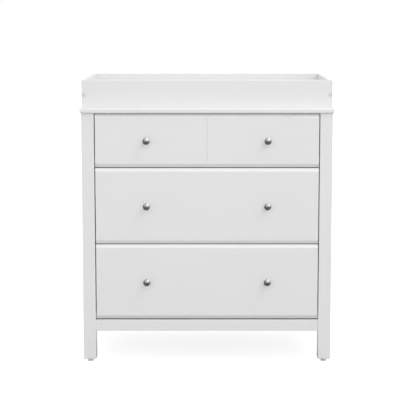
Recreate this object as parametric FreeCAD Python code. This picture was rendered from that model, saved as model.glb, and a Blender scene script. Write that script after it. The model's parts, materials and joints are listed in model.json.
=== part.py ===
import FreeCAD, Part
import math
import os

# A changing dresser: a white chest of three drawers on four square legs, with an open tray
# bolted on its top that keeps a changing pad in place.  All sizes are in millimetres.
#
# +X is to the right seen from the front, +Y to the rear and +Z up.  While the pieces are drawn,
# y = 0 is the front face of the front legs.  Each piece is moved back at the end, so that the
# origin is on the floor, under the middle of the whole object.

os.makedirs("parts", exist_ok=True)

# ---- driving dimensions: the cabinet ----
body_width = 876.0            # over the outer faces of the legs
body_depth = 485.0            # front face of the front legs to rear face of the rear legs
leg_side = 44.0               # square section of a leg
leg_foot = 12.0               # underside of the legs, above the floor
leg_top = 888.0               # underside of the top panel
leg_ease = 1.5                # round along a leg's long edges
foot_ease = 1.2               # chamfer round the foot of a leg

panel_thickness = 15.0        # side panels
panel_inset = 6.0             # from a leg's outer face in to the side panel
panel_housing = 6.0           # how deep the side panels stand in the legs
lower_edge = 114.0            # underside of the side panels and the bottom rails

back_thickness = 4.0
back_housing = 8.0            # how deep the back panel stands in the rear legs
back_front = 476.0            # y of the back panel's front face

rail_thickness = 18.0
bottom_rail_thickness = 28.0  # of the front one, which carries the span under the drawers
bottom_rail_height = 40.0
bottom_rail_set_back = 3.0    # behind the legs' front face
front_top_rail = (24.0, 18.0)     # depth, height
front_top_rail_set_back = 20.0
rear_top_rail_height = 48.0
dowel_radius = 4.0
dowel_half = 18.0             # how far a dowel reaches into each piece

top_thickness = 18.0
top_side_overhang = 5.0
top_front_overhang = 6.0
top_rear_edge = 490.0         # y of the top panel's rear edge
top_round = 5.5               # round on the top panel's upper edge
top_bevel = (3.5, 2.4)        # bevel under its edge: height, depth

# ---- the topper, the tray for the changing pad ----
topper_height = 96.0
topper_front_face = 25.0
board_thickness = 16.0
board_ease = 1.2
topper_bolt_inset = 8.0       # from a board's end to the bolt's axis
topper_bolt_height = 44.0     # above the top panel
bolt_head = (4.6, 3.0)        # radius, thickness
bolt_recess = (5.6, 3.4)      # radius, depth
bolt_shank_radius = 2.5
bolt_length = 44.0
hex_key_radius = 2.3          # over the corners of the socket
hex_key_depth = 1.8

# ---- drawers ----
drawer_gap = 3.0
bottom_gap = 4.5              # between the bottom rail and the lowest drawer front
drawer_front_thickness = 18.0
front_bevel = (12.0, 6.5)     # slope on the upper and lower edge: height, depth
front_ease = 2.0              # round on the two upright edges
groove_width = 3.2
groove_depth = 1.8
drawer_heights = {"bottom": 266.5, "middle": 268.0, "top": 186.0}
box_heights = {"bottom": 190.0, "middle": 190.0, "top": 120.0}
box_lift = 15.0               # from a front's lower edge up to the box's lower edge
box_length = 450.0
box_board = 12.0              # sides and back of a drawer box
box_back_inset = 4.0          # from the sides' rear ends to the box's back
dado = 4.0                    # how deep the box's back stands in the sides
bottom_thickness = 3.0
bottom_lift = 10.0            # from the sides' lower edge up to the drawer bottom
bottom_housing = 6.0          # how deep the drawer bottom stands in the sides and the front

knob_spread = 212.0           # from the middle of a front to a knob
knob_projection = 24.0
knob_foot = (6.6, 1.6)        # radius, distance from the drawer front
knob_neck = (4.7, 6.5)
knob_flare = (6.8, 11.0)
knob_underside = (11.0, 15.3)
knob_rim = (12.3, 17.4)
knob_dome = (15.5, 11.1)      # the dome's spherical radius, and the radius at which it starts
knob_bolt_radius = 2.0
knob_bolt_head = (4.5, 2.4)   # radius, thickness
knob_thread = 12.0            # how deep the bolt goes into the knob

cam_radius = 7.5
cam_depth = 9.0
cam_from_front = 26.0         # behind the drawer front's inner face
cam_pin_radius = 2.5
cam_pin_in_front = 10.0

# ---- roller runners, drawn by u, the distance from a leg's inner face towards the middle ----
runner_space = 12.5           # leg to drawer side
runner_start = 20.0           # y of the front end
runner_length = 450.0
sheet = 1.2                   # thickness of the runners' steel
channel_width = 10.0
channel_height = 21.6
channel_cut = 42.5            # the channel's upper flange starts at this y, behind the roller
roller_radius = 9.0
roller_span = (3.5, 9.5)      # u
roller_bore = 2.55
roller_ease = 0.7
pin_radius = 2.5
boss_radius = 4.0
front_roller = (30.0, 14.0)   # y, height above the channel's underside
rear_roller = (458.0, 10.4)
rail_flange = (2.0, 23.2)     # the drawer rail's upper flange: u of its edge, height of its underside
rail_foot = 24.0              # u of the flange under the drawer side
flange_end = 468.0            # y of the drawer rail's rear end

# ---- glides and brackets ----
glide_radius = 9.2
glide_pad = 7.0
glide_collar = 7.2
glide_stem = (3.5, 20.0)      # radius, how far it goes up into the leg

bracket_sheet = 2.0
topper_bracket_at = 300.0
topper_bracket = (10.0, 890.0, 946.0)     # half width, lower and upper edge
strap_bracket = (12.0, 846.0, 872.0)      # half width, lower and upper edge
strap_hole_radius = 2.2

# ---- values worked out from these ----
leg_outer = body_width / 2
leg_inner = leg_outer - leg_side
leg_middle = leg_outer - leg_side / 2
rear_leg_front = body_depth - leg_side
panel_outer = leg_outer - panel_inset
panel_inner = panel_outer - panel_thickness
panel_rear = rear_leg_front + panel_housing
back_half = leg_inner + back_housing
bottom_rail_top = lower_edge + bottom_rail_height
top_surface = leg_top + top_thickness
topper_rim = top_surface + topper_height
board_inner = leg_outer - board_thickness
topper_rear_face = top_rear_edge
topper_bolt_x = leg_outer - topper_bolt_inset
topper_bolt_z = top_surface + topper_bolt_height
front_half = leg_inner - drawer_gap
box_outer = leg_inner - runner_space
box_inner = box_outer - box_board
box_rear = drawer_front_thickness + box_length
front_reach = -knob_projection
rear_reach = top_rear_edge + bracket_sheet
middle_depth = (front_reach + rear_reach) / 2

UP = (0, 0, 1)
RIGHT = (1, 0, 0)
LEFT = (-1, 0, 0)
FORWARD = (0, -1, 0)
REARWARD = (0, 1, 0)


# ---- ways of making a solid ----
def block(x, y, z):
    """A box between three (low, high) spans."""
    corner = FreeCAD.Vector(x[0], y[0], z[0])
    return Part.makeBox(x[1] - x[0], y[1] - y[0], z[1] - z[0], corner)


def rod(start, direction, length, radius):
    """A round bar from a point, along a direction."""
    return Part.makeCylinder(radius, length, FreeCAD.Vector(*start), FreeCAD.Vector(*direction))


def turned(start, steps):
    """A solid turned about +Z.  A step is one (radius, height) point at the end of a line,
    or two, where an arc goes through the first to the second."""
    first = FreeCAD.Vector(start[0], 0, start[1])
    here = first
    edges = []
    for step in steps:
        points = [FreeCAD.Vector(radius, 0, height) for radius, height in step]
        if len(points) == 2:
            edges.append(Part.Arc(here, points[0], points[1]).toShape())
        else:
            edges.append(Part.LineSegment(here, points[0]).toShape())
        here = points[-1]
    edges.append(Part.LineSegment(here, first).toShape())
    face = Part.Face(Part.Wire(edges))
    return face.revolve(FreeCAD.Vector(0, 0, 0), FreeCAD.Vector(*UP), 360)


def placed(shape, position, direction=UP):
    """A copy of a shape drawn along +Z, turned to a direction and set at a position."""
    turn = FreeCAD.Rotation(FreeCAD.Vector(*UP), FreeCAD.Vector(*direction))
    copy = shape.copy()
    copy.Placement = FreeCAD.Placement(FreeCAD.Vector(*position), turn)
    return copy


def mirrored(shape):
    """The same shape on the other side of the middle."""
    return shape.mirror(FreeCAD.Vector(0, 0, 0), FreeCAD.Vector(*RIGHT))


def both_sides(shapes):
    """Right-hand shapes and their mirror images."""
    return shapes + [mirrored(shape) for shape in shapes]


def joined(shapes):
    """One solid from shapes that touch or overlap."""
    return shapes[0].multiFuse(shapes[1:]).removeSplitter()


def edges_where(shape, rule):
    """The edges whose bounding box follows a rule."""
    return [edge for edge in shape.Edges if rule(edge.BoundBox)]


def flat(length):
    """True for a length that is nothing but rounding."""
    return length < 0.01


def upright(box):
    """True for an upright edge."""
    return flat(box.XLength) and flat(box.YLength)


def lengthwise(box):
    """True for an edge that runs from left to right."""
    return flat(box.YLength) and flat(box.ZLength)


def save(name, solids):
    """Moves a piece to the final origin and writes it, as one solid or a group of solids."""
    group = [solid.copy() for solid in solids]
    for solid in group:
        solid.translate(FreeCAD.Vector(0, -middle_depth, 0))
    shape = group[0] if len(group) == 1 else Part.makeCompound(group)
    if shape.isNull() or not shape.isValid():
        print("not valid:", name)
    shape.exportStep(f"parts/{name}.step")


def save_pair(front_name, right_solid):
    """Writes a right-hand piece and its left-hand twin."""
    save(front_name + "_right", [right_solid])
    save(front_name + "_left", [mirrored(right_solid)])


# ---- dowels between the rails and the legs: (y, z) of each, on either side ----
bottom_front_y = bottom_rail_set_back + bottom_rail_thickness / 2
rear_rail_y = back_front - rail_thickness / 2
bottom_dowel_heights = (lower_edge + 10, bottom_rail_top - 10)
top_dowel_heights = (leg_top - rear_top_rail_height + 12, leg_top - 12)
front_top_dowel = (
    front_top_rail_set_back + front_top_rail[0] / 2,
    leg_top - front_top_rail[1] / 2,
)
dowels = {
    "bottom_rail_front": [(bottom_front_y, z) for z in bottom_dowel_heights],
    "top_rail_front": [front_top_dowel],
    "bottom_rail_rear": [(rear_rail_y, z) for z in bottom_dowel_heights],
    "top_rail_rear": [(rear_rail_y, z) for z in top_dowel_heights],
}


def dowel_rods(rail):
    """The right-hand dowels of one rail, half in the rail and half in the leg."""
    start = leg_inner - dowel_half
    return [rod((start, y, z), RIGHT, 2 * dowel_half, dowel_radius) for y, z in dowels[rail]]


# ---- legs ----
def leg(y_low, cuts):
    """A right-hand leg with eased edges, a glide's hole and the given housings."""
    y_span = (y_low, y_low + leg_side)
    post = block((leg_inner, leg_outer), y_span, (leg_foot, leg_top))
    post = post.makeFillet(leg_ease, edges_where(post, upright))
    foot = edges_where(post, lambda box: flat(box.ZLength) and flat(box.ZMin - leg_foot))
    post = post.makeChamfer(foot_ease, foot)
    centre = (leg_middle, y_low + leg_side / 2, leg_foot)
    hole = rod(centre, UP, glide_stem[1], glide_stem[0])
    return post.cut([hole] + cuts)


def panel_housing_at(y_span):
    """The stopped groove in a leg that holds the side panel."""
    return block((panel_inner, panel_outer), y_span, (lower_edge, leg_top))


front_cuts = [panel_housing_at((leg_side - panel_housing, leg_side))]
front_cuts += dowel_rods("bottom_rail_front") + dowel_rods("top_rail_front")
back_groove = block(
    (leg_inner, back_half), (back_front, back_front + back_thickness), (lower_edge, leg_top)
)
rear_cuts = [panel_housing_at((rear_leg_front, panel_rear)), back_groove]
rear_cuts += dowel_rods("bottom_rail_rear") + dowel_rods("top_rail_rear")
save_pair("leg_front", leg(0, front_cuts))
save_pair("leg_rear", leg(rear_leg_front, rear_cuts))

# ---- side panels, back panel and rails ----
panel_y = (leg_side - panel_housing, panel_rear)
save_pair("side_panel", block((panel_inner, panel_outer), panel_y, (lower_edge, leg_top)))
back_y = (back_front, back_front + back_thickness)
save("back_panel", [block((-back_half, back_half), back_y, (lower_edge, leg_top))])


def rail(name, y_span, z_span, ease=0.0):
    """A rail between the legs, with the holes for its dowels."""
    board = block((-leg_inner, leg_inner), y_span, z_span)
    if ease:
        board = board.makeFillet(ease, edges_where(board, lengthwise))
    save(name, [board.cut(both_sides(dowel_rods(name)))])


bottom_rail_y = (bottom_rail_set_back, bottom_rail_set_back + bottom_rail_thickness)
rear_rail_span = (back_front - rail_thickness, back_front)
front_top_y = (front_top_rail_set_back, front_top_rail_set_back + front_top_rail[0])
rail("bottom_rail_front", bottom_rail_y, (lower_edge, bottom_rail_top), leg_ease)
rail("bottom_rail_rear", rear_rail_span, (lower_edge, bottom_rail_top))
rail("top_rail_front", front_top_y, (leg_top - front_top_rail[1], leg_top))
rail("top_rail_rear", rear_rail_span, (leg_top - rear_top_rail_height, leg_top))
save("frame_dowels", [d for name in dowels for d in both_sides(dowel_rods(name))])

# ---- top panel: rounded above and bevelled below on its front and both ends ----
top_half = leg_outer + top_side_overhang
top = block((-top_half, top_half), (-top_front_overhang, top_rear_edge), (leg_top, top_surface))


def moulded_at(height):
    """A rule for the panel's front and end edges at one height."""

    def rule(box):
        return (
            flat(box.ZLength)
            and flat(abs(box.ZMin - height))
            and not flat(abs(box.YMin - top_rear_edge))
        )

    return rule


def bevel_wedge(side, inward, along):
    """The wedge that bevels the underside of one edge.  It starts at the front corner of a
    side (-1 left, 1 right), is as deep as the bevel along inward, and follows the edge."""
    height, depth = top_bevel
    corner = FreeCAD.Vector(side * top_half, -top_front_overhang, leg_top)
    inner = corner + FreeCAD.Vector(*inward) * depth
    upper = corner + FreeCAD.Vector(*UP) * height
    face = Part.Face(Part.makePolygon([corner, inner, upper, corner]))
    return face.extrude(FreeCAD.Vector(*along))


top = top.makeFillet(top_round, edges_where(top, moulded_at(top_surface)))
front_wedge = bevel_wedge(-1, REARWARD, (2 * top_half, 0, 0))
end_wedge = bevel_wedge(1, LEFT, (0, top_rear_edge + top_front_overhang, 0))
save("top_panel", [top.cut([front_wedge] + both_sides([end_wedge]))])

# ---- topper: two long boards bolted to the ends of two short ones ----
topper_z = (top_surface, topper_rim)


def topper_bolt(y_face, direction):
    """A right-hand bolt with a hexagonal socket, its head sunk just under the board's face."""
    sink = bolt_recess[1] - bolt_head[1]
    head = rod((0, 0, sink), UP, bolt_head[1], bolt_head[0])
    shank = rod((0, 0, sink), UP, bolt_length, bolt_shank_radius)
    corner = FreeCAD.Vector(hex_key_radius, 0, sink)
    turns = [FreeCAD.Rotation(FreeCAD.Vector(*UP), 60 * step) for step in range(7)]
    key = Part.Face(Part.makePolygon([turn.multVec(corner) for turn in turns]))
    socket = key.extrude(FreeCAD.Vector(0, 0, hex_key_depth))
    bolt = joined([head, shank]).cut(socket)
    return placed(bolt, (topper_bolt_x, y_face, topper_bolt_z), direction)


def bolt_space(y_face, direction):
    """The recess and hole that a topper bolt goes into."""
    start = (topper_bolt_x, y_face, topper_bolt_z)
    reach = bolt_length + bolt_recess[1] - bolt_head[1]
    recess = rod(start, direction, bolt_recess[1], bolt_recess[0])
    return joined([recess, rod(start, direction, reach, bolt_shank_radius)])


front_hole = bolt_space(topper_front_face, REARWARD)
rear_hole = bolt_space(topper_rear_face, FORWARD)


def topper_board(x_span, y_span, holes):
    """One board of the topper, with eased upper and upright edges."""
    board = block(x_span, y_span, topper_z)

    def wanted(box):
        return upright(box) or (flat(box.ZLength) and flat(abs(box.ZMin - topper_rim)))

    return board.makeFillet(board_ease, edges_where(board, wanted)).cut(holes)


long_span = (-leg_outer, leg_outer)
front_board_y = (topper_front_face, topper_front_face + board_thickness)
rear_board_y = (topper_rear_face - board_thickness, topper_rear_face)
side_board_y = (front_board_y[1], rear_board_y[0])
save("topper_front", [topper_board(long_span, front_board_y, both_sides([front_hole]))])
save("topper_rear", [topper_board(long_span, rear_board_y, both_sides([rear_hole]))])
side_board = block((board_inner, leg_outer), side_board_y, topper_z)
side_rim = edges_where(side_board, lambda box: flat(abs(box.ZMin - topper_rim)) and flat(box.XLength))
side_board = side_board.makeFillet(board_ease, side_rim).cut([front_hole, rear_hole])
save_pair("topper_side", side_board)
bolts = [topper_bolt(topper_front_face, REARWARD), topper_bolt(topper_rear_face, FORWARD)]
save("topper_bolts", both_sides(bolts))

bracket_y = (top_rear_edge, rear_reach)
half, low, high = topper_bracket
bracket_x = (topper_bracket_at - half, topper_bracket_at + half)
save("topper_brackets", both_sides([block(bracket_x, bracket_y, (low, high))]))

# ---- angle bracket for a strap to the wall, screwed through the back into the rear top rail ----
half, low, high = strap_bracket
back_face = back_y[1]
plate = block((-half, half), (back_face, back_face + bracket_sheet), (low, high))
shelf = block((-half, half), (back_face, rear_reach), (low, low + bracket_sheet))
hole_y = (back_face + bracket_sheet + rear_reach) / 2
strap_hole = rod((0, hole_y, low), UP, bracket_sheet, strap_hole_radius)
save("anti_tip_bracket", [joined([plate, shelf]).cut(strap_hole)])

# ---- glides pressed into the feet ----
glide = turned(
    (0, 0),
    [
        [(glide_radius - 1.2, 0)],
        [(glide_radius, 1.2)],
        [(glide_radius, glide_pad - 1.5)],
        [(glide_collar, glide_pad)],
        [(glide_collar, leg_foot)],
        [(glide_stem[0], leg_foot)],
        [(glide_stem[0], leg_foot + glide_stem[1])],
        [(0, leg_foot + glide_stem[1])],
    ],
)
glide_places = [(leg_middle, y, 0) for y in (leg_side / 2, rear_leg_front + leg_side / 2)]
save("foot_glides", both_sides([placed(glide, place) for place in glide_places]))

# ---- runners and rollers, drawn for the right-hand side with the channel's underside at z = 0 ----


def x_at(u_low, u_high):
    """The x span of a stretch that is given by its distances from the leg's inner face."""
    return (leg_inner - u_high, leg_inner - u_low)


def stub(place, u_low, u_high, radius):
    """A round stub along X between two distances from the leg's inner face."""
    return rod((leg_inner - u_high, place[0], place[1]), RIGHT, u_high - u_low, radius)


def cabinet_runner():
    """A channel with its open side to the drawer, and the front roller's pin."""
    y_span = (runner_start, runner_start + runner_length)
    web = block(x_at(0, sheet), y_span, (0, channel_height))
    floor = block(x_at(0, channel_width), y_span, (0, sheet))
    upper_y = (channel_cut, y_span[1])
    upper = block(x_at(0, channel_width), upper_y, (channel_height - sheet, channel_height))
    inner, outer = roller_span
    boss = stub(front_roller, 0, inner - 0.2, boss_radius)
    pin = stub(front_roller, 0, outer + 0.2, pin_radius)
    head = stub(front_roller, outer + 0.2, outer + 0.9, boss_radius)
    return joined([web, floor, upper, boss, pin, head])


def drawer_runner():
    """A rail under and beside the drawer side, with the rear roller's pin."""
    y_span = (drawer_front_thickness + 1, flange_end)
    edge, under = rail_flange
    web_u = (runner_space - sheet, runner_space)
    web = block(x_at(*web_u), y_span, (-sheet, under + sheet))
    upper = block(x_at(edge, web_u[1]), y_span, (under, under + sheet))
    foot = block(x_at(web_u[0], rail_foot), y_span, (-sheet, 0))
    inner, outer = roller_span
    boss = stub(rear_roller, outer + 0.2, web_u[1], boss_radius)
    pin = stub(rear_roller, inner - 0.2, web_u[1], pin_radius)
    head = stub(rear_roller, inner - 0.9, inner - 0.2, boss_radius)
    return joined([web, upper, foot, boss, pin, head])


def roller(place):
    """A nylon roller with eased rims and a running hole for its pin."""
    width = roller_span[1] - roller_span[0]
    wheel = turned(
        (roller_bore, 0),
        [
            [(roller_radius - roller_ease, 0)],
            [(roller_radius, roller_ease)],
            [(roller_radius, width - roller_ease)],
            [(roller_radius - roller_ease, width)],
            [(roller_bore, width)],
        ],
    )
    return placed(wheel, (leg_inner - roller_span[1], place[0], place[1]), RIGHT)


runner_set = {
    "cabinet_runners": cabinet_runner(),
    "drawer_runners": drawer_runner(),
    "front_rollers": roller(front_roller),
    "rear_rollers": roller(rear_roller),
}

# ---- knob: a round head on a narrow neck, with a threaded hole, drawn outwards along +Z ----
dome_radius, dome_edge = knob_dome
dome_centre = knob_projection - dome_radius
dome_angle = math.asin(dome_edge / dome_radius)
dome_foot = (dome_edge, dome_centre + dome_radius * math.cos(dome_angle))
dome_middle = (
    dome_radius * math.sin(dome_angle / 2),
    dome_centre + dome_radius * math.cos(dome_angle / 2),
)
knob = turned(
    (0, knob_thread),
    [
        [(knob_bolt_radius, knob_thread)],
        [(knob_bolt_radius, 0)],
        [(knob_foot[0], 0)],
        [knob_foot],
        [knob_neck, knob_flare],
        [knob_underside],
        [knob_rim, dome_foot],
        [dome_middle, (0, knob_projection)],
    ],
)


# ---- drawers ----
def front_board(z_low, height, grooved):
    """A drawer front with sloped upper and lower edges, drawn as a section along X."""
    rise, depth = front_bevel
    z_high = z_low + height
    section = [
        (0, z_low + rise),
        (depth, z_low),
        (drawer_front_thickness, z_low),
        (drawer_front_thickness, z_high),
        (depth, z_high),
        (0, z_high - rise),
    ]
    points = [FreeCAD.Vector(-front_half, y, z) for y, z in section]
    face = Part.Face(Part.makePolygon(points + points[:1]))
    board = face.extrude(FreeCAD.Vector(2 * front_half, 0, 0))
    sides = edges_where(board, lambda box: upright(box) and flat(abs(box.YMin)))
    board = board.makeFillet(front_ease, sides)
    if grooved:
        corners = [(-groove_width / 2, 0), (0, groove_depth), (groove_width / 2, 0)]
        notch = [FreeCAD.Vector(x, y, z_low) for x, y in corners]
        groove = Part.Face(Part.makePolygon(notch + notch[:1]))
        board = board.cut(groove.extrude(FreeCAD.Vector(0, 0, height)))
    return board


def drawer(name, z_low):
    """All the pieces of one drawer, closed, with the runners that carry it."""
    height = drawer_heights[name]
    z_box = z_low + box_lift
    z_rim = z_box + box_heights[name]
    z_knob = z_low + height / 2
    inner_face = drawer_front_thickness
    box_y = (inner_face, box_rear)

    floor_z = (z_box + bottom_lift, z_box + bottom_lift + bottom_thickness)
    floor_half = box_inner + bottom_housing
    floor_y = (inner_face - bottom_housing, box_rear)
    floor = block((-floor_half, floor_half), floor_y, floor_z)

    back_span = (box_rear - box_back_inset - box_board, box_rear - box_back_inset)
    back_board_half = box_inner + dado
    back = block((-back_board_half, back_board_half), back_span, (floor_z[1], z_rim))

    cam_y = inner_face + cam_from_front
    cam_heights = (z_box + 35, z_rim - 25)
    pin_start = inner_face - cam_pin_in_front
    pin_length = cam_y - cam_radius - 0.3 - pin_start
    pin_x = box_inner + cam_depth / 2
    cams = [rod((box_inner, cam_y, z), RIGHT, cam_depth, cam_radius) for z in cam_heights]
    pins = [rod((pin_x, pin_start, z), REARWARD, pin_length, cam_pin_radius) for z in cam_heights]

    side = block((box_inner, box_outer), box_y, (z_box, z_rim))
    side = side.cut([floor, back] + cams + pins)

    knob_x = (-knob_spread, knob_spread)
    shank_length = inner_face + knob_thread
    shanks = [rod((x, inner_face, z_knob), FORWARD, shank_length, knob_bolt_radius) for x in knob_x]
    heads = [
        rod((x, inner_face, z_knob), REARWARD, knob_bolt_head[1], knob_bolt_head[0])
        for x in knob_x
    ]
    front = front_board(z_low, height, grooved=name == "top")
    front = front.cut([floor] + both_sides(pins) + shanks)

    save(f"{name}_drawer_front", [front])
    save_pair(f"{name}_drawer_side", side)
    save(f"{name}_drawer_back", [back])
    save(f"{name}_drawer_bottom", [floor])
    save(f"{name}_knob_left", [placed(knob, (knob_x[0], 0, z_knob), FORWARD)])
    save(f"{name}_knob_right", [placed(knob, (knob_x[1], 0, z_knob), FORWARD)])
    save(f"{name}_knob_bolts", [joined(list(pair)) for pair in zip(shanks, heads)])
    save(f"{name}_cam_locks", both_sides(cams + pins))
    for part, shape in runner_set.items():
        lifted = shape.copy()
        lifted.translate(FreeCAD.Vector(0, 0, z_box))
        save(f"{name}_{part}", both_sides([lifted]))


drawer_z = bottom_rail_top + bottom_gap
for drawer_name in ("bottom", "middle", "top"):
    drawer(drawer_name, drawer_z)
    drawer_z += drawer_heights[drawer_name] + drawer_gap
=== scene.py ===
# %% [markdown]
# # A white changing dresser
# The dresser is a chest of three drawers on four square legs, with an open tray bolted on top.
# Its boards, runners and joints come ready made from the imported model, at their real size.
# Here they get their finishes, and the small things that a maker adds last: turned knobs,
# screws, cam faces and nails.  Everything is in metres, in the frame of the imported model.

import json
import math

import bmesh
import bpy
from mathutils import Matrix, Vector


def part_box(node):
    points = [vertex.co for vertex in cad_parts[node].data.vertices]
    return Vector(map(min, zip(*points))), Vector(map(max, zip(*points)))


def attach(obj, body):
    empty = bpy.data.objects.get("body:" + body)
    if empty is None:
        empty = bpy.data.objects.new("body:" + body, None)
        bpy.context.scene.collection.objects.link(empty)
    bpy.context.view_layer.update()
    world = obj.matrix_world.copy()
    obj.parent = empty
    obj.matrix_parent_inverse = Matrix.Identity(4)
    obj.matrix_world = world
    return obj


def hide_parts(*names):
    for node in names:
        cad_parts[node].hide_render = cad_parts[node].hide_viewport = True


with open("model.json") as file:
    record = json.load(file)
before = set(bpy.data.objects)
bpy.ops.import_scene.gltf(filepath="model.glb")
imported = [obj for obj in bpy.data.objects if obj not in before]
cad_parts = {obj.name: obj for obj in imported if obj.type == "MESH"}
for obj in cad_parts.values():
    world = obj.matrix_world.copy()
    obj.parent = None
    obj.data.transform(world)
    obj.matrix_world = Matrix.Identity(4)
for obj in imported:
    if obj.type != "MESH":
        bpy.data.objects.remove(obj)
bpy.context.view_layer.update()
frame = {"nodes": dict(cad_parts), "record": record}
record = frame["record"]

# %% [markdown]
# Most pieces of a drawer exist three times.  Reading their places from the frame, rather than
# writing them down again, keeps the dressing right if the cabinet's measures ever change.

# %% Read the places that the dressing needs
MM = 0.001
DRAWERS = ("top", "middle", "bottom")
SIDES = ("left", "right")


def span(node, axis):
    """The lowest and highest value of a node's box along an axis."""
    low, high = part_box(node)
    return low["xyz".index(axis)], high["xyz".index(axis)]


leg_inner = span("leg_front_right", "x")[0]
front_face = span("leg_front_right", "y")[0]
rear_leg_front = span("leg_rear_right", "y")[0]
print("the legs stand", round(2 * leg_inner, 3), "m apart")

# %% [markdown]
# ## The camera
# The photograph is taken from straight in front with a view camera, so its uprights are
# parallel.  A shift lens would copy that exactly, but the shift stays on when the camera goes
# round the object.  So most of the framing comes from a long lens, held a little high and
# tipped down, and only a small part from the shift.

# %% Camera
CAMERA_DISTANCE = 4.484       # in front of the legs' front face
CAMERA_HEIGHT = 1.262
CAMERA_TILT = 7.48            # degrees below level
CAMERA_LENS, CAMERA_SENSOR = 112.0, 36.0      # mm
CAMERA_SHIFT = (0.0024, -0.08)

camera_data = bpy.data.cameras.new("photo_camera")
camera_data.lens = CAMERA_LENS
camera_data.sensor_width = CAMERA_SENSOR
camera_data.shift_x, camera_data.shift_y = CAMERA_SHIFT
camera = bpy.data.objects.new("photo_camera", camera_data)
camera.location = (0.0, front_face - CAMERA_DISTANCE, CAMERA_HEIGHT)
camera.rotation_euler = (math.radians(90.0 - CAMERA_TILT), 0.0, 0.0)
bpy.context.scene.collection.objects.link(camera)
bpy.context.scene.camera = camera
bpy.context.scene.view_settings.view_transform = "Standard"
print("the camera is at", [round(place, 3) for place in camera.location])

# %% [markdown]
# ## Helpers for node trees
# Materials, groups, the world and the Geometry Nodes trees are all made of the same moves: add
# a node, set its options, fill its sockets.  A few short helpers keep every tree readable.

# %% Node helpers


def fill(tree, node, values):
    """Fills a node's inputs, by name or number, each with a value or with another node's socket."""
    for key, value in values.items():
        if isinstance(value, bpy.types.NodeSocket):
            tree.links.new(value, node.inputs[key])
        else:
            node.inputs[key].default_value = value


def add(tree, kind, values=None, **options):
    """Adds a node, sets its options and fills its inputs."""
    made = tree.nodes.new(kind)
    for option, value in options.items():
        setattr(made, option, value)
    fill(tree, made, values or {})
    return made


def maths(tree, operation, first, second=0.0):
    """One Math node's result."""
    return add(tree, "ShaderNodeMath", {0: first, 1: second}, operation=operation).outputs[0]


def vector_maths(tree, operation, first, second=(0.0, 0.0, 0.0)):
    """One Vector Math node, for its Vector or Value output."""
    return add(tree, "ShaderNodeVectorMath", {0: first, 1: second}, operation=operation)


def spread(tree, value, low, high, to_low=0.0, to_high=1.0):
    """Maps a value from one range to another and clamps it there."""
    names = ("Value", "From Min", "From Max", "To Min", "To Max")
    values = dict(zip(names, (value, low, high, to_low, to_high)))
    return add(tree, "ShaderNodeMapRange", values).outputs["Result"]


def blend_colours(tree, mask, first, second):
    """The first colour where the mask is 0 and the second where it is 1."""
    made = add(tree, "ShaderNodeMix", {"Factor": mask}, data_type="RGBA")
    for key, colour in ((6, first), (7, second)):
        linked = isinstance(colour, bpy.types.NodeSocket)
        fill(tree, made, {key: colour if linked else (*colour, 1.0)})
    return made.outputs[2]


def noise(tree, vector, scale, detail=2.0, roughness=0.5):
    """A noise pattern's height, from 0 to 1."""
    values = {"Vector": vector, "Scale": scale, "Detail": detail, "Roughness": roughness}
    return add(tree, "ShaderNodeTexNoise", values).outputs["Fac"]


# %% [markdown]
# A group is a tree that is built once and placed where it is needed.  Its sockets carry names,
# so whoever opens it in the editor sees what each number is for.

# %% Groups with named sockets
FLOAT, VECTOR, INTEGER = "NodeSocketFloat", "NodeSocketVector", "NodeSocketInt"
GEOMETRY, MATERIAL, OBJECT = "NodeSocketGeometry", "NodeSocketMaterial", "NodeSocketObject"


def new_group(name, inputs, outputs, kind="ShaderNodeTree"):
    """A node group with named sockets, and its input and output nodes."""
    group = bpy.data.node_groups.new(name, kind)
    for label, socket_type, value in inputs:
        socket = group.interface.new_socket(label, in_out="INPUT", socket_type=socket_type)
        if value is not None:
            socket.default_value = value
    for label, socket_type in outputs:
        group.interface.new_socket(label, in_out="OUTPUT", socket_type=socket_type)
    return group, group.nodes.new("NodeGroupInput"), group.nodes.new("NodeGroupOutput")


def object_places(tree):
    """The place of each point on the piece, in metres, which stays put when the piece moves."""
    return add(tree, "ShaderNodeTexCoord").outputs["Object"]


# %% [markdown]
# ## Effects that several finishes share
# A lacquered board has no knife-sharp edge: paint draws back from it and rounds it over.  A
# Bevel modifier would cut that round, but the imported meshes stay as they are.  The Bevel node
# bends the shading normal near an edge as such a round would, and the angle between the bent
# and the true normal tells where the edges are, so that wear can start there.

# %% Soft edges
edge_tree, edge_in, edge_out = new_group(
    "soft edges",
    [("Radius", FLOAT, 1.0 * MM), ("Wear Scale", FLOAT, 60.0)],
    [("Normal", VECTOR), ("Wear", FLOAT)],
)
bevel = add(edge_tree, "ShaderNodeBevel", {"Radius": edge_in.outputs["Radius"]}, samples=4)
true_normal = add(edge_tree, "ShaderNodeNewGeometry").outputs["Normal"]
agreement = vector_maths(edge_tree, "DOT_PRODUCT", bevel.outputs[0], true_normal).outputs["Value"]
at_edge = spread(edge_tree, agreement, 0.99, 0.80)
places = object_places(edge_tree)
patches = noise(edge_tree, places, edge_in.outputs["Wear Scale"], detail=3.0)
worn = maths(edge_tree, "MULTIPLY", at_edge, spread(edge_tree, patches, 0.52, 0.68))
fill(edge_tree, edge_out, {"Normal": bevel.outputs[0], "Wear": worn})
print("made the group", edge_tree.name)

# %% [markdown]
# Sprayed paint and moulded plastic are never quite flat: they have a fine ripple, called orange
# peel, a broad cloudiness of sheen, and a few specks of dust.  One group gives all three as
# plain values, and each finish decides how much of each it takes.

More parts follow.
